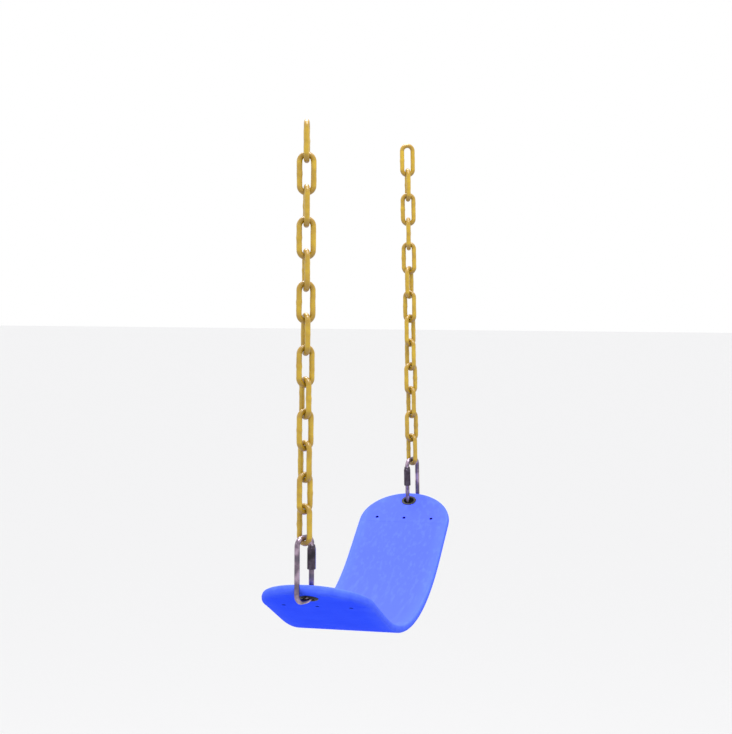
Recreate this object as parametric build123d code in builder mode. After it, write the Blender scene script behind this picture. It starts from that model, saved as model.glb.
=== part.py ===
"""Belt swing seat hung on two plastic-coated chains, in millimetres.

+Z is up, X runs along the seat from chain to chain and +Y points to the front.
The origin is the middle of the suspension line: the line through the two points
where the top links bear on their hangers.
"""

import os
from math import cos, radians, sin

from build123d import *

# ---------------------------------------------------------------- driving sizes
# Belt seat: a flat moulded strip with round ends, bent into a U.
BELT_LENGTH = 650.0  # along the strip, tip to tip
BELT_WIDTH = 130.0
BELT_THICKNESS = 10.0
BELT_EDGE = 3.5  # radius of every long edge
RIM_MARGIN = 1  # how closely an edge matches the belt to count as crossing it
END_SLOPE = 27.0  # degrees above the horizontal, of each straight end
END_STRAIGHT = 143.0  # from the tip to where the U starts to bend
EYELET_FROM_TIP = 20.0  # tip to the middle of the eyelet
PIN_ROW_FROM_TIP = 61.0  # tip to the row of moulding pin holes
PIN_PITCH = 39.5
PIN_DIAMETER = 4.0
PIN_COUNT = 3

# Steel stiffener moulded into each end.
INSERT_THICKNESS = 2.0
INSERT_MARGIN = 12.0  # belt left around the stiffener
INSERT_FROM_TIP = 71.0  # tip to the stiffener's straight inner edge
INSERT_CORNER = 6.0

# Eyelet: a flanged sleeve rolled over a washer.
EYELET_FLANGE = 21.5  # outer diameter of the flange and of the washer
EYELET_SLEEVE = 15.6  # outer diameter of the sleeve
EYELET_THROAT = 13.6  # narrowest diameter of the bore
EYELET_ROUND = 1.6  # radius at both ends of the bore
EYELET_PLATE = 1.2  # thickness of the flange and of the washer
EYELET_LIP = 0.8  # height of the rolled lip under the washer
EYELET_LIP_DIAMETER = 18.0
SLEEVE_CLEARANCE = 0.1  # around the sleeve, on the radius

# Chain: welded steel links under a plastic coat, sizes over the coat.
LINK_WIRE = 6.2
LINK_INNER_WIDTH = 9.2
LINK_PITCH = 35.0
LINK_PLAY = 0.4  # left between two links that hang on each other
CHAIN_LEAN = 2.0  # degrees, outward from the top to the seat
# How far each link's plane is turned from X: the chains hang with a lazy twist.
LEFT_TURNS = (12, 105, 20, 110, 25, 118, 31, 130, 44, 140, 52, 146, 60)
RIGHT_TURNS = (112, 20, 102, 10, 86, 168, 68, 152, 50, 136, 42, 134, 50)

# Quick link: an oval of round bar, closed by a hexagonal sleeve nut.
OVAL_BAR = 6.0
OVAL_WIDTH = 26.0  # between the centre lines of the two legs
OVAL_HEIGHT = 71.0  # between the centre lines of the two ends
OVAL_CORNER = 9.0  # centre-line radius
OVAL_TURN = 23.0  # degrees, its plane from the XZ plane
MOUTH_LOW = 44.0  # height of the mouth's lower edge above the lower centre line
MOUTH = 10.5
NUT_FLATS = 9.0
NUT_LOW = 34.0  # height of the nut's lower face
NUT_HEX = 24.0  # length of the hexagon
NUT_CONE = 3.5  # height of the cone above it
NUT_TOP_DIAMETER = 7.4
NUT_CHAMFER = 0.7
NUT_CLEARANCE = 0.05  # around the bar, on the radius

# Where the eyelet hangs in the quick link, from the middle of its lower bar.
EYELET_INBOARD = 11.3
EYELET_SIDEWAYS = 3.1
EYELET_RISE = 6.35

# ---------------------------------------------------------------- worked out
SLOPE = radians(END_SLOPE)
BEND_RADIUS = (BELT_LENGTH / 2 - END_STRAIGHT) / SLOPE
HALF_WIDTH = BELT_WIDTH / 2
LINK_COUNT = len(LEFT_TURNS)
LINK_INNER = LINK_PITCH + LINK_PLAY
LINK_BEND = (LINK_INNER_WIDTH + LINK_WIRE) / 2
LINK_STRAIGHT = LINK_INNER - LINK_INNER_WIDTH
# From the suspension line down to the centre line of the quick link's upper end.
CHAIN_LENGTH = LINK_COUNT * LINK_PITCH - OVAL_BAR / 2
SIDES = {"left": -1, "right": 1}


def drop_to_oval_foot():
    """Return how far the quick link's lower centre line lies below the hangers."""
    along = CHAIN_LENGTH + OVAL_HEIGHT
    outward = sin(radians(CHAIN_LEAN))
    sideways = EYELET_SIDEWAYS / along
    return along * (1 - outward**2 - sideways**2) ** 0.5


SEAT_HEIGHT = -drop_to_oval_foot() + EYELET_RISE  # of both eyelet centres
BEND_TO_EYELET = END_STRAIGHT - EYELET_FROM_TIP
EYELET_SPAN = BEND_RADIUS * sin(SLOPE) + BEND_TO_EYELET * cos(SLOPE)
SAG = BEND_RADIUS * (1 - cos(SLOPE)) + BEND_TO_EYELET * sin(SLOPE)
BEND_CENTRE = SEAT_HEIGHT - SAG + BEND_RADIUS


def end_plane(side, from_tip):
    """Return the belt's middle plane at one end: x to the tip, z out of the seat face."""
    inward = from_tip - EYELET_FROM_TIP
    at = Vector(side * (EYELET_SPAN - inward * cos(SLOPE)), 0, SEAT_HEIGHT - inward * sin(SLOPE))
    to_tip = Vector(side * cos(SLOPE), 0, sin(SLOPE))
    outward = Vector(-side * sin(SLOPE), 0, cos(SLOPE))
    return Plane(origin=at, x_dir=to_tip, z_dir=outward)


def chain_up(side):
    """Return the direction in which one chain rises from the seat to its hanger."""
    along = CHAIN_LENGTH + OVAL_HEIGHT
    return Vector(
        -side * sin(radians(CHAIN_LEAN)),
        side * EYELET_SIDEWAYS / along,
        drop_to_oval_foot() / along,
    )


def upright_plane(origin, up, across):
    """Return the plane whose y runs along up and whose x is across, squared to up."""
    squared = (across - up * across.dot(up)).normalized()
    return Plane(origin=origin, x_dir=squared, z_dir=squared.cross(up))


def oval_plane(side):
    """Return a quick link's plane, from its lower centre line: x outward, y up."""
    turn = radians(OVAL_TURN)
    foot = Vector(
        side * (EYELET_SPAN + EYELET_INBOARD),
        -side * EYELET_SIDEWAYS,
        SEAT_HEIGHT - EYELET_RISE,
    )
    return upright_plane(foot, chain_up(side), Vector(side * cos(turn), -side * sin(turn), 0))


def hanger_point(side):
    """Return the point at which a top link bears on its hanger."""
    return oval_plane(side).origin + chain_up(side) * (CHAIN_LENGTH + OVAL_HEIGHT)


# ---------------------------------------------------------------- sub-parts
def make_plugs(side):
    """Build the round plugs that one end's eyelet hole and pin holes are cut with."""
    with BuildPart() as plugs:
        with BuildSketch(end_plane(side, EYELET_FROM_TIP)):
            Circle(EYELET_SLEEVE / 2 + SLEEVE_CLEARANCE)
        extrude(amount=BELT_THICKNESS, both=True)
        with BuildSketch(end_plane(side, PIN_ROW_FROM_TIP)):
            with GridLocations(0, PIN_PITCH, 1, PIN_COUNT):
                Circle(PIN_DIAMETER / 2)
        extrude(amount=BELT_THICKNESS, both=True)
    return plugs.part


def make_belt():
    """Build the moulded belt with its eyelet holes, pin holes and stiffener pockets."""
    with BuildPart() as belt:
        with BuildSketch(Plane.XZ):
            with BuildLine():
                bend = CenterArc((0, BEND_CENTRE), BEND_RADIUS, 270 - END_SLOPE, 2 * END_SLOPE)
                for end, side in ((bend @ 0, -1), (bend @ 1, 1)):
                    run = END_STRAIGHT - HALF_WIDTH
                    Line(end, end + Vector(side * run * cos(SLOPE), run * sin(SLOPE)))
            trace(line_width=BELT_THICKNESS)
        extrude(amount=HALF_WIDTH, both=True)
        for side in SIDES.values():
            with BuildSketch(end_plane(side, HALF_WIDTH)):
                Circle(HALF_WIDTH)
            extrude(amount=BELT_THICKNESS / 2, both=True)
        rim = [edge for edge in belt.edges() if is_rim(edge)]
        fillet(rim, BELT_EDGE)
        for side in SIDES.values():
            add(make_plugs(side), mode=Mode.SUBTRACT)
            with BuildSketch(end_plane(side, HALF_WIDTH)):
                add(stiffener_outline())
            extrude(amount=INSERT_THICKNESS / 2, both=True, mode=Mode.SUBTRACT)
    return belt.part


def is_rim(edge):
    """Tell whether a belt edge runs round its face, not across it or through it."""
    start, end = edge @ 0, edge @ 1
    level = abs(start.X - end.X) < RIM_MARGIN
    across = level and abs(start.Y - end.Y) > BELT_WIDTH - RIM_MARGIN
    through = edge.geom_type == GeomType.LINE and edge.length < BELT_THICKNESS + RIM_MARGIN
    return not across and not through


def stiffener_outline():
    """Return a stiffener's outline, seen from the centre of the belt's round end."""
    with BuildSketch() as outline:
        Circle(HALF_WIDTH - INSERT_MARGIN)
        with Locations((HALF_WIDTH - INSERT_FROM_TIP, 0)):
            Rectangle(BELT_WIDTH, BELT_WIDTH, align=(Align.MIN, Align.CENTER), mode=Mode.INTERSECT)
        corners = outline.vertices().group_by(Axis.X)[0]
        fillet(corners, INSERT_CORNER)
    return outline.sketch


def make_stiffener(side):
    """Build the steel plate that is moulded into one end of the belt."""
    with BuildPart() as plate:
        with BuildSketch(end_plane(side, HALF_WIDTH)):
            add(stiffener_outline())
        extrude(amount=INSERT_THICKNESS / 2, both=True)
        add(make_plugs(side), mode=Mode.SUBTRACT)
    return plate.part


def eyelet_section(side):
    """Return the half-plane through an eyelet: x from its axis, y out of the seat face."""
    face = end_plane(side, EYELET_FROM_TIP)
    return Plane(origin=face.origin, x_dir=face.x_dir, z_dir=face.x_dir.cross(face.z_dir))


def make_eyelet(side):
    """Build the flanged sleeve of an eyelet, with its bore rounded at both ends."""
    top = BELT_THICKNESS / 2 + EYELET_PLATE
    foot = -top - EYELET_LIP
    throat = EYELET_THROAT / 2
    sleeve = EYELET_SLEEVE / 2
    flange = EYELET_FLANGE / 2
    lip = EYELET_LIP_DIAMETER / 2
    with BuildPart() as eyelet:
        with BuildSketch(eyelet_section(side)):
            with BuildLine():
                Line((throat, foot + EYELET_ROUND), (throat, top - EYELET_ROUND))
                CenterArc((throat + EYELET_ROUND, top - EYELET_ROUND), EYELET_ROUND, 90, 90)
                Polyline(
                    (throat + EYELET_ROUND, top),
                    (flange - EYELET_PLATE / 2, top),
                    (flange, BELT_THICKNESS / 2),
                    (sleeve, BELT_THICKNESS / 2),
                    (sleeve, -top),
                    (lip, -top),
                    (throat + EYELET_ROUND, foot),
                )
                CenterArc((throat + EYELET_ROUND, foot + EYELET_ROUND), EYELET_ROUND, 180, 90)
            make_face()
        face = end_plane(side, EYELET_FROM_TIP)
        revolve(axis=Axis(face.origin, face.z_dir))
    return eyelet.part


def make_washer(side):
    """Build the washer that an eyelet's sleeve is rolled over, on the under face."""
    back = end_plane(side, EYELET_FROM_TIP).offset(-BELT_THICKNESS / 2 - EYELET_PLATE)
    with BuildPart() as washer:
        with BuildSketch(back):
            Circle(EYELET_FLANGE / 2)
            Circle(EYELET_SLEEVE / 2, mode=Mode.SUBTRACT)
        extrude(amount=EYELET_PLATE)
        outer_edge = washer.edges().sort_by(SortBy.LENGTH)[-2:].sort_by(Axis.Z)[0]
        chamfer(outer_edge, EYELET_PLATE / 2)
    return washer.part


def make_link(side, turn, number):
    """Build one welded chain link, with its plane turned by so many degrees from X."""
    up = chain_up(side)
    centre = hanger_point(side) - up * (LINK_INNER / 2 + number * LINK_PITCH)
    flat = upright_plane(centre, up, Vector(cos(radians(turn)), sin(radians(turn)), 0))
    with BuildPart() as link:
        with BuildLine(flat) as half_loop:
            first = Line((LINK_BEND, 0), (LINK_BEND, LINK_STRAIGHT / 2))
            arch = CenterArc((0, LINK_STRAIGHT / 2), LINK_BEND, 0, 180)
            Line(arch @ 1, (-LINK_BEND, 0))
        with BuildSketch(Plane(origin=first @ 0, z_dir=first % 0)):
            Circle(LINK_WIRE / 2)
        sweep(path=half_loop.wire())
        mirror(about=Plane(origin=centre, z_dir=up))
    return link.part


def make_oval(side):
    """Build the bar of a quick link, open at the mouth in its inner leg."""
    plane = oval_plane(side)
    leg = OVAL_WIDTH / 2
    with BuildPart() as oval:
        with BuildLine(plane) as bar:
            FilletPolyline(
                (-leg, MOUTH_LOW),
                (-leg, 0),
                (leg, 0),
                (leg, OVAL_HEIGHT),
                (-leg, OVAL_HEIGHT),
                (-leg, MOUTH_LOW + MOUTH),
                radius=OVAL_CORNER,
            )
        with BuildSketch(Plane(origin=bar.wire() @ 0, z_dir=bar.wire() % 0)):
            Circle(OVAL_BAR / 2)
        sweep(path=bar.wire())
    return oval.part


def make_nut(side):
    """Build the sleeve nut that closes a quick link's mouth."""
    plane = oval_plane(side)
    up = plane.y_dir
    low = plane.origin - plane.x_dir * (OVAL_WIDTH / 2) + up * NUT_LOW
    foot = Plane(origin=low, x_dir=plane.x_dir, z_dir=up)
    across_corners = NUT_FLATS / cos(radians(30))
    with BuildPart() as nut:
        with BuildSketch(foot):
            RegularPolygon(NUT_FLATS / 2, 6, major_radius=False)
        extrude(amount=NUT_HEX)
        with BuildSketch(foot):
            Circle(across_corners / 2 - NUT_CHAMFER / 2)
        extrude(amount=NUT_HEX, mode=Mode.INTERSECT)
        with BuildSketch(foot.offset(NUT_HEX)):
            Circle(NUT_FLATS / 2)
        with BuildSketch(foot.offset(NUT_HEX + NUT_CONE)):
            Circle(NUT_TOP_DIAMETER / 2)
        loft()
        with BuildSketch(foot):
            Circle(OVAL_BAR / 2 + NUT_CLEARANCE)
        extrude(amount=NUT_HEX + NUT_CONE, mode=Mode.SUBTRACT)
    return nut.part


def save(part, name):
    """Label one finished piece and write it to its own STEP file."""
    part.label = name
    export_step(part, f"parts/{name}.step")


def main():
    """Build and write every piece."""
    os.makedirs("parts", exist_ok=True)
    save(make_belt(), "seat_belt")
    for name, side in SIDES.items():
        save(make_stiffener(side), f"{name}_stiffener")
        save(make_eyelet(side), f"{name}_eyelet")
        save(make_washer(side), f"{name}_eyelet_washer")
        save(make_oval(side), f"{name}_quick_link")
        save(make_nut(side), f"{name}_quick_link_nut")
    for name, turns in (("left", LEFT_TURNS), ("right", RIGHT_TURNS)):
        for number, turn in enumerate(turns):
            save(make_link(SIDES[name], turn, number), f"{name}_link_{number + 1:02d}")


main()
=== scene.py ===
"""A moulded belt swing seat on two plastic-coated chains, dressed over its CAD frame."""

import logging
import math
from collections.abc import Sequence
from dataclasses import dataclass
from enum import Enum

import bmesh
import bpy
import numpy as np
from bmesh.types import BMEdge, BMesh, BMFace, BMVert
from bpy.types import ID, Material, Node, NodeSocket, NodeTree, Object
from mathutils import Matrix, Vector, noise


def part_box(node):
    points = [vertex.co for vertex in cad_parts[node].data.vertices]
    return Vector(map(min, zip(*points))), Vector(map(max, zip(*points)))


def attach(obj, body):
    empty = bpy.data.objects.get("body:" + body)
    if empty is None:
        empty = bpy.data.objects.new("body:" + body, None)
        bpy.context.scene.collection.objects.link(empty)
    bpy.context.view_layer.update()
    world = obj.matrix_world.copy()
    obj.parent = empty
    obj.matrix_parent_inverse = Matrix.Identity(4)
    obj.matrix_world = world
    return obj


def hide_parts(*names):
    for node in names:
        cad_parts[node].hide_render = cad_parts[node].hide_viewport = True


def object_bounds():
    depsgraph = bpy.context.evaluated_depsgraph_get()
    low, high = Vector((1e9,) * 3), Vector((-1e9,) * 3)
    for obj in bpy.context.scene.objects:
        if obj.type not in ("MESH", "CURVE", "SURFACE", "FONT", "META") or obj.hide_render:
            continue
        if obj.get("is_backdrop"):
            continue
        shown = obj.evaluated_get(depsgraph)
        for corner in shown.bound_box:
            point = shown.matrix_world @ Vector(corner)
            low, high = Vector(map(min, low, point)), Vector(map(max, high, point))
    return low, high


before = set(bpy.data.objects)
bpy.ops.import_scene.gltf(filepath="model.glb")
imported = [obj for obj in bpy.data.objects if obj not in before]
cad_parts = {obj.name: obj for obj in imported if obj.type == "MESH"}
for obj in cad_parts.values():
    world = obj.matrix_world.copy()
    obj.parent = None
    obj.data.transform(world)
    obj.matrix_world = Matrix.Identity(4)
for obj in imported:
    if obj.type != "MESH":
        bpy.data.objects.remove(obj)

Pair = tuple[float, float]
Triple = tuple[float, float, float]

MM = 0.001
MERGED = 0.005 * MM  # points nearer to each other than this become one
ON_PLANE = 0.001 * MM  # points nearer to a cutting plane than this are on it
LOG = logging.getLogger("swing")
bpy.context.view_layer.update()  # taken before any piece is added


class Side(Enum):
    """The two ends of the seat, with the sign of each one's X."""

    LEFT = -1
    RIGHT = 1

    @property
    def word(self) -> str:
        """Return the side's name as the frame's nodes write it."""
        return self.name.lower()


# ---- node tools
def linear(colour: str) -> tuple[float, float, float, float]:
    """Turn an sRGB hex colour into the linear one that a shader takes.

    Args:
        colour: six hex digits after a hash sign.

    Returns:
        Red, green, blue and an alpha of one.
    """
    channels = [int(colour[i : i + 2], 16) / 255 for i in (1, 3, 5)]
    curved = [c / 12.92 if c <= 0.04045 else ((c + 0.055) / 1.055) ** 2.4 for c in channels]
    return (curved[0], curved[1], curved[2], 1.0)


def add_node(
    tree: NodeTree,
    kind: str,
    inputs: dict[str | int, object] | None = None,
    stops: tuple[tuple[float, str], ...] = (),
    **settings: object,
) -> Node:
    """Add one node with its settings and links.

    Args:
        tree: the material's node tree.
        kind: the node's type name, without its ShaderNode.
        inputs: a constant, or another node's output, for each input.
        stops: the places and hex colours of a colour ramp.
        settings: the node's own properties.

    Returns:
        The new node.
    """
    node = tree.nodes.new(f"ShaderNode{kind}")
    for name, value in settings.items():
        setattr(node, name, value)
    for name, value in (inputs or {}).items():
        if isinstance(value, NodeSocket):
            tree.links.new(value, node.inputs[name])
        else:
            node.inputs[name].default_value = value
    if stops:
        ramp = node.color_ramp.elements
        while len(ramp) < len(stops):
            ramp.new(0.5)
        for element, (place, colour) in zip(ramp, stops):
            element.position = place
            element.color = linear(colour)
    return node


def per_metre(size_mm: float) -> float:
    """Return the scale of a pattern whose marks are this many millimetres wide."""
    return 1 / (size_mm * MM)


@dataclass(frozen=True)
class Finish:
    """What finishes share: name, relief, roughness, and how the material begins and ends."""

    name: str
    relief: Pair = (0.2, 0.05)  # how strongly it shows, and its depth in mm
    rough: Pair = (0.4, 0.26)  # the roughness where the pattern is 0, and where it is 1

    def begin(self) -> tuple[Material, NodeTree, NodeSocket]:
        """Start an empty node material.

        Returns:
            The material, its tree and the Object coordinates.
        """
        material = bpy.data.materials.new(self.name)
        material.use_nodes = True
        tree = material.node_tree
        tree.nodes.clear()
        place = add_node(tree, "TexCoord")
        return material, tree, place.outputs["Object"]

    def close(
        self,
        tree: NodeTree,
        height: NodeSocket,
        wear: NodeSocket | None,
        surface: dict[str, object],
    ) -> None:
        """End a material with its relief, its gloss, its shader and its output.

        Args:
            tree: the material's node tree.
            height: what the relief follows.
            wear: what the roughness follows, where it varies.
            surface: the shader's other inputs.
        """
        if wear is not None:
            start, end = self.rough
            gloss = add_node(tree, "MapRange", {"Value": wear, "To Min": start, "To Max": end})
            surface["Roughness"] = gloss.outputs[0]
        strength, depth_mm = self.relief
        bump = add_node(
            tree, "Bump", {"Height": height, "Strength": strength, "Distance": depth_mm * MM}
        )
        surface = surface | {"Normal": bump.outputs[0]}
        shader = add_node(tree, "BsdfPrincipled", surface)
        add_node(tree, "OutputMaterial", {"Surface": shader.outputs[0]})

    def material(self) -> Material:
        """Build the finish as a material."""
        raise NotImplementedError


@dataclass(frozen=True)
class FoamRubber(Finish):
    """Closed-cell EVA rubber, compression moulded in a sand-blasted steel tool.

    The eye gets a matt blue skin with a fine leathery grain and faint flow clouds, deep
    underneath, painted lighter on the seat face as where the light falls, faintly streaked on
    that face, rubbed on its rims and painted dark with shade inside its pin holes.
    """

    relief: Pair = (0.35, 0.12)
    blue: str = "#2044F2"
    cloud: str = "#284CF6"
    # painted light: the seat face is drawn lighter, as where the lamps fall
    seat_face_light: str = "#4858F4"
    streak: str = "#5468F6"
    rubbed: str = "#5674F0"
    # painted shade: the walls of the pin holes drawn dark
    hole_shade: str = "#0A1040"
    grain_mm: float = 1.3  # real grain is near 0.4 mm, drawn coarser so that it shows
    cloud_mm: float = 34.0
    streak_mm: float = 5.0
    streak_length: float = 30.0  # times its width
    scuff_mm: float = 9.0
    skin_ior: float = 1.08  # the blasted skin of a foam is part air
    rough: Pair = (0.7, 0.82)

    def material(self) -> Material:
        """Build the finish as a material."""
        material, tree, place = self.begin()
        cloud = add_node(
            tree,
            "TexNoise",
            {"Vector": place, "Scale": per_metre(self.cloud_mm), "Detail": 4.0, "Roughness": 0.6},
        )
        colour = add_node(
            tree,
            "ValToRGB",
            {"Fac": cloud.outputs["Fac"]},
            stops=((0.35, self.blue), (0.7, self.cloud)),
        )
        drawn = add_node(
            tree,
            "Mapping",
            {
                "Vector": place,
                "Scale": (per_metre(self.streak_length * self.streak_mm),)
                + (per_metre(self.streak_mm),) * 2,
            },
        )
        lines = add_node(
            tree, "TexNoise", {"Vector": drawn.outputs[0], "Scale": 1.0, "Detail": 4.0}
        )
        faint = add_node(
            tree,
            "MapRange",
            {"Value": lines.outputs["Fac"], "From Min": 0.5, "From Max": 0.8, "To Max": 0.7},
        )
        # painted light: 1 on the seat face, 0 underneath, lightening the lit face
        seat_face_lit = add_node(tree, "Attribute", attribute_name="seat_face_light")
        faint = add_node(
            tree, "Math", {0: faint.outputs[0], 1: seat_face_lit.outputs["Fac"]}, operation="MULTIPLY"
        )
        rim = add_node(tree, "Attribute", attribute_name="rim")
        scuff = add_node(
            tree,
            "TexNoise",
            {"Vector": place, "Scale": per_metre(self.scuff_mm), "Detail": 6.0, "Roughness": 0.7},
        )
        worn = add_node(
            tree, "Math", {0: rim.outputs["Fac"], 1: scuff.outputs["Fac"]}, operation="MULTIPLY"
        )
        # painted shade inside the pin holes
        hole_shading = add_node(tree, "Attribute", attribute_name="hole_shade")
        for share, shade in (
            (seat_face_lit.outputs["Fac"], self.seat_face_light),
            (faint.outputs[0], self.streak),
            (worn.outputs[0], self.rubbed),
            (hole_shading.outputs["Fac"], self.hole_shade),
        ):
            colour = add_node(
                tree, "MixRGB", {"Fac": share, "Color1": colour.outputs[0], "Color2": linear(shade)}
            )
        grain = add_node(
            tree,
            "TexVoronoi",
            {"Vector": place, "Scale": per_metre(self.grain_mm)},
            feature="SMOOTH_F1",
        )
        fine = add_node(
            tree,
            "TexNoise",
            {"Vector": place, "Scale": 2 * per_metre(self.grain_mm), "Detail": 3.0},
        )
        skin = add_node(
            tree, "Math", {0: grain.outputs["Distance"], 1: fine.outputs["Fac"]}, operation="ADD"
        )
        surface = {"Base Color": colour.outputs[0], "IOR": self.skin_ior}
        self.close(tree, skin.outputs[0], scuff.outputs["Fac"], surface)
        return material


@dataclass(frozen=True)
class VinylDip(Finish):
    """Plastisol, a PVC coat that welded chain is dipped in and cured.

    The eye gets a rich golden yellow with a soft shine, an orange-peel skin, thin and thick
    places, and ochre grime with painted shade where one link bears on the next.
    """

    relief: Pair = (0.3, 0.25)
    thick: str = "#BE9C12"
    thin: str = "#A6820C"
    # grime and painted shade where the links cross
    grime_and_shade: str = "#6E4506"
    peel_mm: float = 1.6
    flow_mm: float = 11.0
    vinyl_ior: float = 1.53
    rough: Pair = (0.3, 0.62)

    def material(self) -> Material:
        """Build the finish as a material."""
        material, tree, place = self.begin()
        flow = add_node(
            tree, "TexNoise", {"Vector": place, "Scale": per_metre(self.flow_mm), "Detail": 3.0}
        )
        body = add_node(
            tree,
            "ValToRGB",
            {"Fac": flow.outputs["Fac"]},
            stops=((0.3, self.thin), (0.65, self.thick)),
        )
        # grime and painted shade, strongest at the link's ends where the next link lies
        bearing = add_node(tree, "Attribute", attribute_name="bearing")
        grime_and_shade_share = add_node(
            tree, "Math", {0: bearing.outputs["Fac"], 1: flow.outputs["Fac"]}, operation="MULTIPLY"
        )
        colour = add_node(
            tree,
            "MixRGB",
            {"Fac": grime_and_shade_share.outputs[0], "Color1": body.outputs[0], "Color2": linear(self.grime_and_shade)},
        )
        peel = add_node(
            tree, "TexNoise", {"Vector": place, "Scale": per_metre(self.peel_mm), "Detail": 2.0}
        )
        surface = {
            "Base Color": colour.outputs[0],
            "IOR": self.vinyl_ior,
            "Coat Weight": 0.5,
            "Coat Roughness": 0.16,
        }
        self.close(tree, peel.outputs["Fac"], grime_and_shade_share.outputs[0], surface)
        return material


@dataclass(frozen=True)
class ZincPlate(Finish):
    """Bright zinc over drawn steel bar, clear passivated in a barrel.

    The eye gets a cool grey metal that reflects softly, with the faint rose and lilac bloom of
    the passivate, dull blotches, and fine scuffs from the barrel.
    """

    bright: str = "#B5A0B3"
    bloom: str = "#7D6E7D"
    dull: str = "#66606E"
    blotch_mm: float = 10.0
    scuff_mm: float = 0.8
    scuff_length: float = 1 / 0.12  # times its width

    def material(self) -> Material:
        """Build the finish as a material."""
        material, tree, place = self.begin()
        blotch = add_node(
            tree, "TexNoise", {"Vector": place, "Scale": per_metre(self.blotch_mm), "Detail": 5.0}
        )
        colour = add_node(
            tree,
            "ValToRGB",
            {"Fac": blotch.outputs["Fac"]},
            stops=((0.32, self.dull), (0.48, self.bloom), (0.66, self.bright)),
        )
        along = add_node(
            tree,
            "Mapping",
            {
                "Vector": place,
                "Scale": (per_metre(self.scuff_mm),) * 2
                + (per_metre(self.scuff_length * self.scuff_mm),),
            },
        )
        scuff = add_node(
            tree, "TexNoise", {"Vector": along.outputs[0], "Scale": 1.0, "Detail": 4.0}
        )
        surface = {"Base Color": colour.outputs[0], "Metallic": 1.0}
        self.close(tree, scuff.outputs["Fac"], blotch.outputs["Fac"], surface)
        return material


@dataclass(frozen=True)
class BlackNylon(Finish):
    """Black glass-filled nylon, injection moulded.

    The eye gets a near-black satin with the faint grey swirl of the glass fibres.
    """

    relief: Pair = (0.15, 0.1)
    black: str = "#030304"
    fibre: str = "#0E0E11"
    swirl_mm: float = 2.2
    nylon_ior: float = 1.53
    rough: Pair = (0.6, 0.75)

    def material(self) -> Material:
        """Build the finish as a material."""
        material, tree, place = self.begin()
        swirl = add_node(
            tree,
            "TexNoise",
            {"Vector": place, "Scale": per_metre(self.swirl_mm), "Detail": 5.0, "Distortion": 1.2},
        )
        colour = add_node(
            tree,
            "ValToRGB",
            {"Fac": swirl.outputs["Fac"]},
            stops=((0.45, self.black), (0.85, self.fibre)),
        )
        surface = {"Base Color": colour.outputs[0], "IOR": self.nylon_ior}
        self.close(tree, swirl.outputs["Fac"], swirl.outputs["Fac"], surface)
        return material


@dataclass(frozen=True)
class StudioPaper(Finish):
    """Plain white paper, matt, for the floor."""

    relief: Pair = (0.05, 0.1)
    white: str = "#F3F3F4"
    fibres_per_metre: float = 900.0

    def material(self) -> Material:
        """Build the finish as a material."""
        material, tree, place = self.begin()
        fibre = add_node(tree, "TexNoise", {"Vector": place, "Scale": self.fibres_per_metre})
        surface = {"Base Color": linear(self.white), "Roughness": 0.95}
        self.close(tree, fibre.outputs["Fac"], None, surface)
        return material


class Paintbox:
    """The finishes, each built once."""

    def __init__(self) -> None:
        """Build every material of the object and of the studio."""
        self.seat = FoamRubber("moulded_eva_rubber").material()
        self.chain = VinylDip("vinyl_dipped_chain").material()
        self.bar = ZincPlate("zinc_plated_bar").material()
        self.nut = ZincPlate(
            "zinc_plated_nut", bright="#645F6B", bloom="#4C434F", dull="#37343A", rough=(0.44, 0.3)
        ).material()
        self.eyelet = BlackNylon("black_nylon").material()
        self.stiffener = ZincPlate(
            "mill_steel_plate", bright="#9A9A9E", bloom="#85858A", rough=(0.56, 0.42)
        ).material()
        self.paper = StudioPaper("studio_paper").material()


# ---- mesh tools
def add_object(name: str, data: ID) -> Object:
    """Make an object of a mesh, a light or a camera, and link it to the scene."""
    item = bpy.data.objects.new(name, data)
    bpy.context.scene.collection.objects.link(item)
    return item


def finish_piece(
    name: str,
    mesh: BMesh,
    material: Material,
    crease_degrees: float = 35.0,
) -> Object:
    """Turn a bmesh into a finished object at the origin.

    Args:
        name: the new piece's name.
        mesh: the shape, in place. It is freed.
        material: its finish.
        crease_degrees: edges sharper than this stay crisp.

    Returns:
        The linked object.
    """
    data = bpy.data.meshes.new(name)
    mesh.to_mesh(data)
    mesh.free()
    data.materials.append(material)
    data.shade_smooth()
    data.set_sharp_from_angle(angle=math.radians(crease_degrees))
    return add_object(name, data)


def stand_for(piece: Object, node: str, body: str) -> None:
    """Let a piece replace a CAD node and ride on its body."""
    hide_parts(node)
    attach(piece, body)
    LOG.info("%s: %d faces, for %s on %s", piece.name, len(piece.data.polygons), node, body)


def spread(node: str) -> tuple[Vector, np.ndarray]:
    """Find a CAD node's middle and its main directions.

    Args:
        node: the CAD node's name.

    Returns:
        The area-weighted middle, and three directions in rows, longest spread first.
    """
    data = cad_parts[node].data
    areas = np.array([face.area for face in data.polygons])
    centres = np.array([face.center[:] for face in data.polygons])
    middle = (centres * areas[:, None]).sum(0) / areas.sum()
    away = centres - middle
    covariance = (away * areas[:, None]).T @ away
    _, directions = np.linalg.eigh(covariance)
    return Vector(middle), directions.T[::-1]


def reach(node: str, origin: Vector, direction: Vector) -> Pair:
    """Measure how far a CAD node reaches along a direction.

    Args:
        node: the CAD node's name.
        origin: where to measure from.
        direction: a unit vector.

    Returns:
        The lowest and highest distance.
    """
    places = [(vertex.co - origin).dot(direction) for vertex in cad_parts[node].data.vertices]
    return min(places), max(places)


def basis(origin: Vector, across: Vector, up: Vector) -> Matrix:
    """Build the placement whose X is across and whose Z is up.

    Args:
        origin: where the shape's own origin goes.
        across: the direction of its X, squared to up here.
        up: the direction of its Z.

    Returns:
        A 4 by 4 matrix.
    """
    z = up.normalized()
    x = (across - z * across.dot(z)).normalized()
    y = z.cross(x)
    return Matrix.Translation(origin) @ Matrix((x, y, z)).transposed().to_4x4()


def corners_of(ring: list) -> list[BMVert]:
    """Pick the vertices out of a ring's vertices and edges."""
    return [part for part in ring if isinstance(part, BMVert)]


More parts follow.
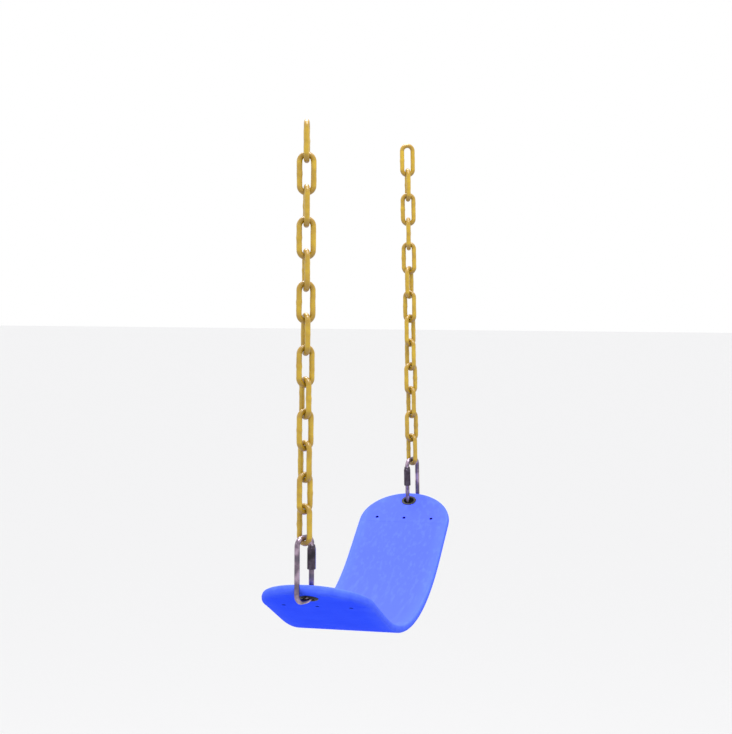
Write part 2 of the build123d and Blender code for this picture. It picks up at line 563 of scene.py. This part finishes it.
def extrude_ring(mesh: BMesh, ring: list, along: Vector, steps: int) -> list:
    """Draw a ring of edges out into a tube.

    Args:
        mesh: the bmesh.
        ring: the ring's vertices and edges.
        along: the whole way to go.
        steps: how many rows of faces.

    Returns:
        The last ring's vertices and edges.
    """
    for _ in range(steps):
        edges = [part for part in ring if isinstance(part, BMEdge)]
        ring = bmesh.ops.extrude_edge_only(mesh, edges=edges)["geom"]
        ring = [part for part in ring if not isinstance(part, BMFace)]
        bmesh.ops.translate(mesh, verts=corners_of(ring), vec=along / steps)
    return ring


def spin_ring(
    mesh: BMesh, ring: list, centre: Vector, axis: Vector, degrees: float, steps: int
) -> list:
    """Sweep a ring round an axis.

    Args:
        mesh: the bmesh.
        ring: the ring's vertices and edges.
        centre: a point on the axis.
        axis: the axis.
        degrees: how far to turn.
        steps: how many rows of faces.

    Returns:
        The last ring's vertices and edges.
    """
    result = bmesh.ops.spin(
        mesh,
        geom=ring,
        cent=centre,
        axis=axis,
        angle=math.radians(degrees),
        steps=steps,
        use_merge=False,
        use_duplicate=False,
    )
    return result["geom_last"]


def start_ring(mesh: BMesh, radius: float, segments: int, at: Matrix) -> list:
    """Make a ring of edges to draw or spin a tube from.

    Args:
        mesh: the bmesh.
        radius: the ring's radius.
        segments: its sides.
        at: its placement.

    Returns:
        Its vertices and edges.
    """
    made = bmesh.ops.create_circle(
        mesh, cap_ends=False, radius=radius, segments=segments, matrix=at
    )
    verts = made["verts"]
    edges = list(dict.fromkeys(edge for vertex in verts for edge in vertex.link_edges))
    return verts + edges


def close_up(mesh: BMesh, gap: float = MERGED) -> None:
    """Merge the points that meet, then turn every face outward."""
    bmesh.ops.remove_doubles(mesh, verts=mesh.verts[:], dist=gap)
    bmesh.ops.recalc_face_normals(mesh, faces=mesh.faces[:])


def turned(profile: Sequence[Pair], steps: int) -> BMesh:
    """Spin a closed profile into a ring about Z.

    Args:
        profile: its points in order, each a radius and a height.
        steps: how many flats the ring has.

    Returns:
        The ring as a bmesh.
    """
    mesh = bmesh.new()
    verts = [mesh.verts.new((radius, 0, height)) for radius, height in profile]
    edges = [mesh.edges.new((verts[i - 1], verts[i])) for i in range(len(verts))]
    bmesh.ops.spin(
        mesh,
        geom=verts + edges,
        cent=(0, 0, 0),
        axis=(0, 0, 1),
        angle=math.tau,
        steps=steps,
        use_merge=True,
        use_duplicate=False,
    )
    close_up(mesh, ON_PLANE / 10)
    return mesh


def carve(blank: BMesh, tool: BMesh, operation: str) -> BMesh:
    """Shape a blank with a tool by an exact Boolean.

    Args:
        blank: what is shaped. It is freed.
        tool: what shapes it. It is freed.
        operation: DIFFERENCE to cut the tool away, INTERSECT to keep what lies inside it.

    Returns:
        The result as a bmesh.
    """
    stock = []
    for name, mesh in (("blank", blank), ("tool", tool)):
        data = bpy.data.meshes.new(name)
        mesh.to_mesh(data)
        mesh.free()
        stock.append(add_object(name, data))
    cut = stock[0].modifiers.new("cut", "BOOLEAN")
    cut.operation = operation
    cut.solver = "EXACT"
    cut.object = stock[1]
    bpy.context.view_layer.update()
    evaluated = stock[0].evaluated_get(bpy.context.evaluated_depsgraph_get())
    result = bmesh.new()
    result.from_mesh(bpy.data.meshes.new_from_object(evaluated))
    for item in stock:
        bpy.data.objects.remove(item)
    return result


# ---- the seat
@dataclass
class BeltSeat:
    """The moulded belt: a flat strip with round ends, bent into a U.

    It is modelled flat, u along the strip, y across it and t through it, and then bent.
    """

    length: float = 650 * MM
    width: float = 130 * MM
    thickness: float = 10 * MM
    edge_radius: float = 3.5 * MM
    end_slope: float = math.radians(27)
    end_straight: float = 143 * MM
    eyelet_from_tip: float = 20 * MM
    eyelet_hole: float = 15.8 * MM
    pins_from_tip: float = 61 * MM
    pin_pitch: float = 39.5 * MM
    pin_hole: float = 4 * MM
    pin_count: int = 3
    hole_chamfer: float = 0.6 * MM
    plate_end: float = 71 * MM  # from the tip to the inner end of the moulded-in plate
    plate_rise: float = 0.35 * MM  # how far the skin stands proud over the plate
    plate_ramp: float = 3 * MM
    seam_height: float = 0.25 * MM  # the flash line that the two mould halves leave
    seam_width: float = 0.9 * MM
    round_steps: int = 40  # sides of each half-round end
    rim_steps: int = 6
    eyelet_sides: int = 48
    pin_sides: int = 24
    bend_step: float = 4 * MM
    ramp_cuts: tuple[float, ...] = (-0.5, -0.25, 0.0, 0.25, 0.5)  # shares of the ramp
    long_cuts: tuple[float, ...] = (-0.36, -0.2, 0.0, 0.2, 0.36)  # shares of the width
    rubbed_width: float = 1.6  # times the edge radius
    crease_degrees: float = 32.0

    def __post_init__(self) -> None:
        """Take the height of the middle surface at the bottom of the U from the CAD belt."""
        self.middle_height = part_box("seat_belt")[0].z + self.thickness / 2

    @property
    def bend_radius(self) -> float:
        """Return the middle surface's radius in the bend."""
        return (self.length / 2 - self.end_straight) / self.end_slope

    def bend(self, flat: Vector) -> Vector:
        """Carry a point of the flat strip to the bent one.

        Args:
            flat: the distance along the strip, across it and out of its seat face.

        Returns:
            The same point on the hanging seat.
        """
        side = math.copysign(1.0, flat.x)
        along = abs(flat.x)
        curved = self.length / 2 - self.end_straight
        angle = min(along, curved) / self.bend_radius
        straight = max(along - curved, 0.0)
        x = self.bend_radius * math.sin(angle) + straight * math.cos(angle)
        z = self.bend_radius * (1 - math.cos(angle)) + straight * math.sin(angle)
        x -= flat.z * math.sin(angle)
        z += flat.z * math.cos(angle)
        return Vector((side * x, flat.y, self.middle_height + z))

    def end_frame(self, side: Side, from_tip: float) -> Matrix:
        """Return the placement on one straight end, Z out of the seat face.

        Args:
            side: which end.
            from_tip: the distance from the tip.

        Returns:
            A matrix with X towards the tip.
        """
        u = side.value * (self.length / 2 - from_tip)
        origin = self.bend(Vector((u, 0, 0)))
        tip_way = self.bend(Vector((u + side.value * MM, 0, 0))) - origin
        face_way = self.bend(Vector((u, 0, MM))) - origin
        return basis(origin, tip_way, face_way)

    def blank(self) -> BMesh:
        """Return the flat strip with its rounded rims and its mould seam.

        Returns:
            A closed bmesh.
        """
        mesh = bmesh.new()
        bmesh.ops.create_circle(
            mesh,
            cap_ends=True,
            radius=self.width / 2,
            segments=2 * self.round_steps,
            matrix=Matrix.Translation((0, 0, -self.thickness / 2)),
        )
        spread_out = self.length / 2 - self.width / 2
        middle = bmesh.ops.bisect_plane(
            mesh,
            geom=mesh.verts[:] + mesh.edges[:] + mesh.faces[:],
            plane_co=(0, 0, 0),
            plane_no=(1, 0, 0),
            dist=ON_PLANE,
        )
        seam = [part for part in middle["geom_cut"] if isinstance(part, BMEdge)]
        bmesh.ops.split_edges(mesh, edges=seam)
        for face in mesh.faces:
            way = math.copysign(spread_out, face.calc_center_median().x)
            bmesh.ops.translate(mesh, verts=face.verts[:], vec=(way, 0, 0))
        open_ends = [
            edge
            for edge in mesh.edges
            if all(abs(abs(vertex.co.x) - spread_out) < MM for vertex in edge.verts)
        ]
        bmesh.ops.bridge_loops(mesh, edges=open_ends)
        bmesh.ops.dissolve_edges(mesh, edges=open_ends, use_verts=False)
        bmesh.ops.recalc_face_normals(mesh, faces=mesh.faces[:])
        raised = bmesh.ops.extrude_face_region(mesh, geom=mesh.faces[:], use_keep_orig=True)
        bmesh.ops.translate(mesh, verts=corners_of(raised["geom"]), vec=(0, 0, self.thickness))
        bmesh.ops.recalc_face_normals(mesh, faces=mesh.faces[:])
        self.round_rims(mesh)
        return mesh

    def round_rims(self, mesh: BMesh) -> None:
        """Round both rims and raise the mould seam between them."""
        rims = [
            edge
            for edge in mesh.edges
            if abs(edge.verts[0].co.z - edge.verts[1].co.z) < 0.1 * MM
            and edge.calc_face_angle(0.0) > math.radians(60)
        ]
        bmesh.ops.bevel(
            mesh,
            geom=rims,
            affect="EDGES",
            offset=self.edge_radius,
            offset_type="OFFSET",
            segments=self.rim_steps,
            profile=0.5,
            material=-1,
        )
        walls = [
            face
            for face in mesh.faces
            if abs(face.normal.z) < 0.05 and abs(face.calc_center_median().z) < 0.2 * MM
        ]
        inner = (self.thickness - 2 * self.edge_radius - self.seam_width) / 2
        bmesh.ops.inset_region(
            mesh, faces=walls, thickness=inner, depth=self.seam_height, use_even_offset=True
        )

    def hole_cutters(self) -> BMesh:
        """Return the cutters of the eyelet and pin holes, in place on the flat strip."""
        cutters = bmesh.new()
        for side in Side:
            at = Vector((side.value * (self.length / 2 - self.eyelet_from_tip), 0, 0))
            self.add_cutter(cutters, at, self.eyelet_hole / 2, self.eyelet_sides)
        for at in self.pin_places():
            self.add_cutter(cutters, at, self.pin_hole / 2, self.pin_sides)
        return cutters

    def pin_places(self) -> list[Vector]:
        """Return the middles of the pin holes, on the flat strip."""
        first = (1 - self.pin_count) / 2
        return [
            Vector(
                (
                    side.value * (self.length / 2 - self.pins_from_tip),
                    (first + number) * self.pin_pitch,
                    0,
                )
            )
            for side in Side
            for number in range(self.pin_count)
        ]

    def add_cutter(self, mesh: BMesh, at: Vector, radius: float, sides: int) -> None:
        """Add one hole cutter, wider by the chamfer at both faces."""
        top = self.thickness / 2 + self.hole_chamfer
        neck = self.thickness / 2 - self.hole_chamfer
        mouth = radius + 2 * self.hole_chamfer
        ring = start_ring(mesh, mouth, sides, Matrix.Translation(at - Vector((0, 0, top))))
        mesh.faces.new(corners_of(ring))
        height, wide = -top, mouth
        for size, level in ((radius, -neck), (radius, neck), (mouth, top)):
            ring = extrude_ring(mesh, ring, Vector((0, 0, level - height)), 1)
            bmesh.ops.scale(
                mesh,
                vec=(size / wide, size / wide, 1),
                space=Matrix.Translation(-at),
                verts=corners_of(ring),
            )
            height, wide = level, size
        mesh.faces.new(corners_of(ring))
        bmesh.ops.recalc_face_normals(mesh, faces=mesh.faces[:])

    def slice_for_bending(self, mesh: BMesh) -> None:
        """Cut the strip crosswise, and lengthwise in a few places, so that it bends evenly."""
        steps = round(self.length / self.bend_step)
        for number in range(1, steps):
            u = -self.length / 2 + number * self.length / steps
            self.slice(mesh, Vector((u, 0, 0)), Vector((1, 0, 0)))
        for side in Side:
            for share in self.ramp_cuts:
                u = side.value * (self.length / 2 - self.plate_end - share * self.plate_ramp)
                self.slice(mesh, Vector((u, 0, 0)), Vector((1, 0, 0)))
        for share in self.long_cuts:
            self.slice(mesh, Vector((0, share * self.width, 0)), Vector((0, 1, 0)))

    def slice(self, mesh: BMesh, at: Vector, normal: Vector) -> None:
        """Cut every face that one plane crosses."""
        geometry = mesh.verts[:] + mesh.edges[:] + mesh.faces[:]
        bmesh.ops.bisect_plane(mesh, geom=geometry, plane_co=at, plane_no=normal, dist=ON_PLANE)

    def rise(self, flat: Vector) -> Vector:
        """Lift a point of either face where the skin covers a stiffener plate."""
        inward = self.length / 2 - abs(flat.x) - self.plate_end
        share = min(max(0.5 - inward / self.plate_ramp, 0.0), 1.0)
        face = max(2 * abs(flat.z) / self.thickness - 0.5, 0.0) * 2
        lift = self.plate_rise * share * share * (3 - 2 * share) * face
        return flat + Vector((0, 0, math.copysign(lift, flat.z)))

    def mark_wear_and_painted_light(self, mesh: BMesh) -> None:
        """Write how rubbed each point is, how much painted light it gets, and the painted shade in
        the pin holes.
        """
        rim = mesh.verts.layers.float.new("rim")
        seat_face_light = mesh.verts.layers.float.new("seat_face_light")
        hole_shade = mesh.verts.layers.float.new("hole_shade")
        pins = [place.to_2d() for place in self.pin_places()]
        wall = self.pin_hole / 2 + self.hole_chamfer / 3
        middle_of_end = self.length / 2 - self.width / 2
        for vertex in mesh.verts:
            flat = vertex.co.to_2d()
            # painted shade on the walls of the pin holes
            vertex[hole_shade] = float(min((flat - pin).length for pin in pins) < wall)
            # painted light: the seat face lighter, the underside darker
            vertex[seat_face_light] = min(max(0.5 + vertex.co.z / self.thickness, 0.0), 1.0)
            beyond = max(abs(vertex.co.x) - middle_of_end, 0.0)
            from_edge = self.width / 2 - math.hypot(beyond, vertex.co.y)
            worn = 1.0 - from_edge / (self.rubbed_width * self.edge_radius)
            vertex[rim] = min(max(worn, 0.0), 1.0)

    def build(self, paints: Paintbox) -> None:
        """Model the belt flat, punch it, bend it and dress it."""
        mesh = carve(self.blank(), self.hole_cutters(), "DIFFERENCE")
        self.slice_for_bending(mesh)
        self.mark_wear_and_painted_light(mesh)
        for vertex in mesh.verts:
            vertex.co = self.bend(self.rise(vertex.co))
        bmesh.ops.triangulate(mesh, faces=[face for face in mesh.faces if len(face.verts) > 4])
        bmesh.ops.recalc_face_normals(mesh, faces=mesh.faces[:])
        piece = finish_piece("belt_seat", mesh, paints.seat, self.crease_degrees)
        stand_for(piece, "seat_belt", "seat")


@dataclass
class Eyelets:
    """The flanged sleeve in each end of the belt and the washer that it is rolled over."""

    seat: BeltSeat
    flange: float = 21.5 * MM
    sleeve: float = 15.6 * MM
    throat: float = 13.6 * MM
    bore_round: float = 1.6 * MM
    plate: float = 1.2 * MM
    lip: float = 0.8 * MM
    lip_diameter: float = 18 * MM
    turn_steps: int = 64

    @staticmethod
    def arc(centre: Pair, radius: float, first: float, last: float, steps: int = 6) -> list[Pair]:
        """List points along an arc, by its centre, radius and first and last degrees."""
        x, z = centre
        angles = [math.radians(first + (last - first) * i / steps) for i in range(steps + 1)]
        return [(x + radius * math.cos(a), z + radius * math.sin(a)) for a in angles]

    def sleeve_profile(self) -> list[Pair]:
        """Return the sleeve's section: bore, rolled lip, outside, and flange with a soft edge."""
        half = self.seat.thickness / 2
        top = half + self.plate
        foot = -top - self.lip
        inside = self.throat / 2 + self.bore_round
        roll = self.plate / 2
        points = self.arc((inside, top - self.bore_round), self.bore_round, 180, 90)
        points += self.arc((self.flange / 2 - roll, half + roll), roll, 90, 0)
        points += [(self.flange / 2, half), (self.sleeve / 2, half), (self.sleeve / 2, -top)]
        rolled = (self.lip_diameter / 2 - self.lip / 2, -top - self.lip / 2)
        points += self.arc(rolled, self.lip / 2, 60, -90)
        points += self.arc((inside, foot + self.bore_round), self.bore_round, 270, 180)
        return points

    def washer_profile(self) -> list[Pair]:
        """Return the washer's section, with its outer edge broken."""
        half = -self.seat.thickness / 2
        low = half - self.plate
        soft = self.plate / 2
        points = [(self.sleeve / 2, half), (self.sleeve / 2, low)]
        points += self.arc((self.flange / 2 - soft, low + soft), soft, 270, 360)
        points += [(self.flange / 2, half)]
        return points

    def build(self, paints: Paintbox) -> None:
        """Make both eyelets and both washers."""
        for side in Side:
            at = self.seat.end_frame(side, self.seat.eyelet_from_tip)
            for name, node, profile in (
                ("eyelet_sleeve", "eyelet", self.sleeve_profile()),
                ("eyelet_back", "eyelet_washer", self.washer_profile()),
            ):
                mesh = turned(profile, self.turn_steps)
                mesh.transform(at)
                piece = finish_piece(f"{side.word}_{name}", mesh, paints.eyelet)
                stand_for(piece, f"{side.word}_{node}", "seat")


# ---- the chains
@dataclass
class Chain:
    """One hanging chain: welded links, each dipped in vinyl."""

    side: Side
    links: int = 13
    wire: float = 6.2 * MM
    inner_width: float = 9.2 * MM
    inner_length: float = 35.4 * MM
    wire_sides: int = 20
    arch_steps: int = 16
    leg_steps: int = 14
    weld_bulge: float = 0.35 * MM
    weld_length: float = 2.4 * MM
    coat_lumps: float = 0.24 * MM
    lump_size: float = 5.5 * MM
    lump_shift: Triple = (0.37, 0.11, 0.0)  # from one link to the next
    right_seed: int = 50  # keeps the right chain's lumps unlike the left one's
    crease_degrees: float = 60.0

    def node(self, number: int) -> str:
        """Return the name of one link's CAD node."""
        return f"{self.side.word}_link_{number:02d}"

    def up(self) -> Vector:
        """Return the direction in which the chain rises."""
        return (spread(self.node(1))[0] - spread(self.node(self.links))[0]).normalized()

    def loop(self) -> BMesh:
        """Return a plain link, standing in the XZ plane about the origin.

        Returns:
            A closed tube as a bmesh.
        """
        bend = (self.inner_width + self.wire) / 2
        leg = self.inner_length - self.inner_width
        mesh = bmesh.new()
        at = Matrix.Translation((bend, 0, leg / 2))
        ring = start_ring(mesh, self.wire / 2, self.wire_sides, at)
        turn = Vector((0, -1, 0))
        ring = spin_ring(mesh, ring, Vector((0, 0, leg / 2)), turn, 180, self.arch_steps)
        ring = extrude_ring(mesh, ring, Vector((0, 0, -leg)), self.leg_steps)
        ring = spin_ring(mesh, ring, Vector((0, 0, -leg / 2)), turn, 180, self.arch_steps)
        extrude_ring(mesh, ring, Vector((0, 0, leg)), self.leg_steps)
        close_up(mesh, 2 * MERGED)
        return mesh

    def coat(self, mesh: BMesh, seed: int) -> None:
        """Add the weld under the coat, the coat's thick places, and where grime and painted shade
        darken it.

        Args:
            mesh: a plain link.
            seed: shifts the lumps, so that no two links are alike.
        """
        layer = mesh.verts.layers.float.new("bearing")
        bend = (self.inner_width + self.wire) / 2
        arch = (self.inner_length - self.inner_width) / 2
        mesh.normal_update()
        shifts = []
        for vertex in mesh.verts:
            place = vertex.co
            outer = abs(place.z) - arch
            bearing = min(max(outer / bend, 0.0), 1.0)
            # darkened with grime and painted shade towards the link's ends
            vertex[layer] = bearing**0.5 * (1.0 if outer > 0 else 0.0)
            weld = 0.0
            if place.x > 0:
                weld = self.weld_bulge * math.exp(-((place.z / self.weld_length) ** 2))
            at = (place + seed * Vector(self.lump_shift)) / self.lump_size
            lump = self.coat_lumps * noise.noise(at) * (1 - bearing)
            shifts.append(vertex.normal * (weld + lump))
        for vertex, shift in zip(mesh.verts, shifts):
            vertex.co += shift

    def build(self, paints: Paintbox) -> None:
        """Make every link where its CAD node is."""
        up = self.up()
        first_seed = self.right_seed if self.side is Side.RIGHT else 0
        for number in range(1, self.links + 1):
            node = self.node(number)
            middle, directions = spread(node)
            mesh = self.loop()
            self.coat(mesh, first_seed + number)
            at = basis(middle, Vector(directions[1]), up)
            mesh.transform(at)
            piece = finish_piece(f"{node}_dipped", mesh, paints.chain, self.crease_degrees)
            body = "hanging_links" if number == 1 else node
            stand_for(piece, node, body)


@dataclass(frozen=True)
class SleeveNut:
    """The hexagon nut that closes a quick link, with a cone on top and a plain bore."""

    flats: float = 9 * MM
    hexagon: float = 24 * MM  # height of the part that takes a spanner
    top: float = 7.4 * MM
    bore: float = 6.1 * MM
    bore_chamfer: float = 0.4 * MM
    face_inset: float = 0.1 * MM  # the turned faces stop this far inside the flats
    foot_chamfer: float = 0.6 * MM
    shoulder_chamfer: float = 0.8 * MM
    rim_height: float = 0.5 * MM
    rim_flare: float = 0.25 * MM
    rim_inset: float = 0.15 * MM
    clear: float = 0.2 * MM  # the envelope stands this far outside the corners
    turn_steps: int = 72
    crease_degrees: float = 25.0

    def blank(self, length: float) -> BMesh:
        """Return a plain hexagon bar of the nut's length."""
        mesh = bmesh.new()
        corners = self.flats / math.sqrt(3)
        outline = bmesh.ops.create_circle(mesh, cap_ends=True, radius=corners, segments=6)
        face = outline["verts"][0].link_faces[0]
        grown = bmesh.ops.extrude_face_region(mesh, geom=[face], use_keep_orig=True)
        bmesh.ops.translate(mesh, verts=corners_of(grown["geom"]), vec=(0, 0, length))
        bmesh.ops.recalc_face_normals(mesh, faces=mesh.faces[:])
        return mesh

    def envelope(self, length: float) -> BMesh:
        """Return the round envelope that the bar is turned to, with the bore in it."""
        corners = self.flats / math.sqrt(3) + self.clear
        face = self.flats / 2 - self.face_inset
        bore = self.bore / 2
        profile = (
            (bore + self.bore_chamfer, 0.0),
            (face, 0.0),
            (corners, self.foot_chamfer),
            (corners, self.hexagon - self.shoulder_chamfer),
            (face, self.hexagon),
            (self.top / 2 + self.rim_flare, length - self.rim_height),
            (self.top / 2 - self.rim_inset, length),
            (bore, length),
            (bore, self.bore_chamfer),
        )
        return turned(profile, self.turn_steps)

    def shape(self, length: float) -> BMesh:
        """Turn the nut from its bar.

        Args:
            length: from the foot to the top of the cone.

        Returns:
            The nut on its foot at the origin, Z along its bore.
        """
        mesh = carve(self.blank(length), self.envelope(length), "INTERSECT")
        bmesh.ops.remove_doubles(mesh, verts=mesh.verts[:], dist=MERGED)
        bmesh.ops.dissolve_degenerate(mesh, edges=mesh.edges[:], dist=MERGED)
        bmesh.ops.triangulate(mesh, faces=mesh.faces[:])
        bmesh.ops.recalc_face_normals(mesh, faces=mesh.faces[:])
        return mesh


@dataclass
class QuickLink:
    """An oval of round bar with a mouth in its inner leg, closed by a sleeve nut."""

    side: Side
    up: Vector
    bar: float = 6 * MM
    corner: float = 9 * MM
    mouth: float = 10.5 * MM
    mouth_low: float = 44 * MM
    thread_pitch: float = 1.0 * MM
    thread_depth: float = 0.45 * MM
    thread_length: float = 7 * MM
    thread_rows: int = 8  # rows of faces to one turn of the thread
    bar_sides: int = 24
    corner_steps: int = 8
    leg_steps: int = 10
    end_steps: int = 3
    crease_degrees: float = 40.0
    nut: SleeveNut = SleeveNut()

    @property
    def node(self) -> str:
        """Return the name of the bar's CAD node, and of its body."""
        return f"{self.side.word}_quick_link"

    def frame(self) -> tuple[Matrix, float, float]:
        """Find the bar's placement and size from its CAD node.

        Returns:
            The placement, with its origin between the ends, X outward and Z up,
            the width between the legs' centres and the height between the ends' centres.
        """
        middle, directions = spread(self.node)
        normal = Vector(directions[2])
        across = normal.cross(self.up)
        if across.x * self.side.value < 0:
            across.negate()
        low, high = reach(self.node, middle, self.up)
        inner, outer = reach(self.node, middle, across)
        centre = middle + self.up * (low + high) / 2 + across * (inner + outer) / 2
        at = basis(centre, across, self.up)
        return at, outer - inner - self.bar, high - low - self.bar

    def bent_bar(self, width: float, height: float) -> BMesh:
        """Bend the bar, from the mouth's lower edge round to its upper one.

        Args:
            width: between the legs' centres.
            height: between the ends' centres.

        Returns:
            The bar in the XZ plane, with its two ends closed.
        """
        mesh = bmesh.new()
        half = width / 2
        mouth_low = self.mouth_low - height / 2
        mouth_high = mouth_low + self.mouth
        inset = half - self.corner
        rise = height / 2 - self.corner
        rows = self.thread_rows / self.thread_pitch
        at = Matrix.Translation((-half, 0, mouth_low))
        ring = start_ring(mesh, self.bar / 2, self.bar_sides, at)
        mesh.faces.new(corners_of(ring))
        thread = Vector((0, 0, -self.thread_length))
        ring = extrude_ring(mesh, ring, thread, round(self.thread_length * rows))
        below = self.corner - self.mouth_low + self.thread_length
        for along, steps, corner in (
            (Vector((0, 0, below)), self.leg_steps, Vector((-inset, 0, -rise))),
            (Vector((2 * inset, 0, 0)), self.end_steps, Vector((inset, 0, -rise))),
            (Vector((0, 0, 2 * rise)), self.leg_steps, Vector((inset, 0, rise))),
            (Vector((-2 * inset, 0, 0)), self.end_steps, Vector((-inset, 0, rise))),
        ):
            ring = extrude_ring(mesh, ring, along, steps)
            ring = spin_ring(mesh, ring, corner, Vector((0, -1, 0)), 90, self.corner_steps)
        above = rise - mouth_high
        ring = extrude_ring(mesh, ring, Vector((0, 0, -above)), round(above * rows))
        mesh.faces.new(corners_of(ring))
        close_up(mesh)
        self.cut_thread(mesh, -half, mouth_low - self.thread_length, rise)
        return mesh

    def cut_thread(self, mesh: BMesh, leg: float, low: float, high: float) -> None:
        """Cut a helical thread into one stretch of a leg.

        Args:
            mesh: the bar.
            leg: the leg's own X.
            low: where the thread starts.
            high: where it runs out.
        """
        for vertex in mesh.verts:
            away = Vector((vertex.co.x - leg, vertex.co.y, 0))
            if low < vertex.co.z < high and self.bar / 4 < away.length < self.bar:
                angle = math.atan2(away.y, away.x) / math.tau
                phase = (vertex.co.z / self.thread_pitch - angle) % 1.0
                depth = self.thread_depth * (1 - abs(2 * phase - 1))
                vertex.co -= away.normalized() * depth

    def build(self, paints: Paintbox) -> None:
        """Make the bar and its nut."""
        at, width, height = self.frame()
        mesh = self.bent_bar(width, height)
        mesh.transform(at)
        piece = finish_piece(f"{self.node}_bar", mesh, paints.bar, self.crease_degrees)
        stand_for(piece, self.node, self.node)
        node = f"{self.node}_nut"
        leg = at @ Vector((-width / 2, 0, 0))
        low, high = reach(node, leg, self.up)
        mesh = self.nut.shape(high - low)
        foot = basis(leg + self.up * low, at.to_3x3() @ Vector((1, 0, 0)), self.up)
        mesh.transform(foot)
        piece = finish_piece(f"{node}_sleeve", mesh, paints.nut, self.nut.crease_degrees)
        stand_for(piece, node, node)


# ---- the studio
@dataclass(frozen=True)
class Lamp:
    """A round soft box, aimed at the seat."""

    name: str
    place: Triple
    watts: float
    size: float = 1.2


@dataclass
class Studio:
    """The pale floor, the soft lights and the camera."""

    camera_at: Triple = (-1.9333, -0.4411, -0.1069)
    yaw: float = math.radians(12.823)
    pitch: float = math.radians(5.261)
    roll: float = math.radians(-0.306)
    lens_mm: float = 76.57
    sensor_mm: float = 36.0
    farthest: float = 100.0
    lamps: tuple[Lamp, ...] = (
        Lamp("key", (-0.5, -0.5, 1.5), 34.0),
        Lamp("fill", (-1.2, 1.6, 0.6), 4.0),
        Lamp("back", (0.6, 0.3, 1.5), 54.0),
    )
    lamps_aim: Triple = (0.0, 0.0, -0.45)
    floor_drop: float = 2.4
    paper_size: float = 80.0

    def build(self, paints: Paintbox) -> None:
        """Set the studio up."""
        self.lay_floor(paints)
        self.hang_lights()
        self.place_camera()

    def lay_floor(self, paints: Paintbox) -> None:
        """Lay the paper floor well below the seat."""
        mesh = bmesh.new()
        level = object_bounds()[0][2] - self.floor_drop
        bmesh.ops.create_grid(
            mesh,
            x_segments=1,
            y_segments=1,
            size=self.paper_size / 2,
            matrix=Matrix.Translation((0, 0, level)),
        )
        finish_piece("paper_floor", mesh, paints.paper)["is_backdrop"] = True

    def hang_lights(self) -> None:
        """Hang the lamps in an even white surround."""
        for lamp in self.lamps:
            light = bpy.data.lights.new(lamp.name, "AREA")
            light.shape = "DISK"
            light.size = lamp.size
            light.energy = lamp.watts
            place = Vector(lamp.place)
            turn = (Vector(self.lamps_aim) - place).to_track_quat("-Z", "Y").to_matrix()
            item = add_object(lamp.name, light)
            item.matrix_world = Matrix.Translation(place) @ turn.to_4x4()
        world = bpy.data.worlds.new("surround")
        world.use_nodes = True
        sky = world.node_tree.nodes["Background"]
        sky.inputs["Color"].default_value = linear("#FFFFFF")
        sky.inputs["Strength"].default_value = 1.0
        bpy.context.scene.view_settings.view_transform = "Standard"
        bpy.context.scene.world = world

    def place_camera(self) -> None:
        """Point the camera from the near end of the seat, a little down."""
        ahead = Vector(
            (
                math.cos(self.yaw) * math.cos(self.pitch),
                math.sin(self.yaw) * math.cos(self.pitch),
                -math.sin(self.pitch),
            )
        )
        level = Vector((math.sin(self.yaw), -math.cos(self.yaw), 0))
        above = level.cross(ahead)
        right = level * math.cos(self.roll) + above * math.sin(self.roll)
        up = above * math.cos(self.roll) - level * math.sin(self.roll)
        data = bpy.data.cameras.new("camera")
        data.lens = self.lens_mm
        data.sensor_width = self.sensor_mm
        data.clip_end = self.farthest
        camera = add_object("camera", data)
        turn = Matrix((right, up, -ahead)).transposed().to_4x4()
        camera.matrix_world = Matrix.Translation(self.camera_at) @ turn
        bpy.context.scene.camera = camera


def main() -> None:
    """Build the swing seat and its studio."""
    logging.basicConfig(level=logging.INFO, format="%(message)s")
    paints = Paintbox()
    Studio().build(paints)
    seat = BeltSeat()
    seat.build(paints)
    Eyelets(seat).build(paints)
    for side in Side:
        chain = Chain(side)
        chain.build(paints)
        QuickLink(side, chain.up()).build(paints)
        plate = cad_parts[f"{side.word}_stiffener"]
        plate.data.materials.clear()
        plate.data.materials.append(paints.stiffener)


if __name__ == "__main__":
    main()
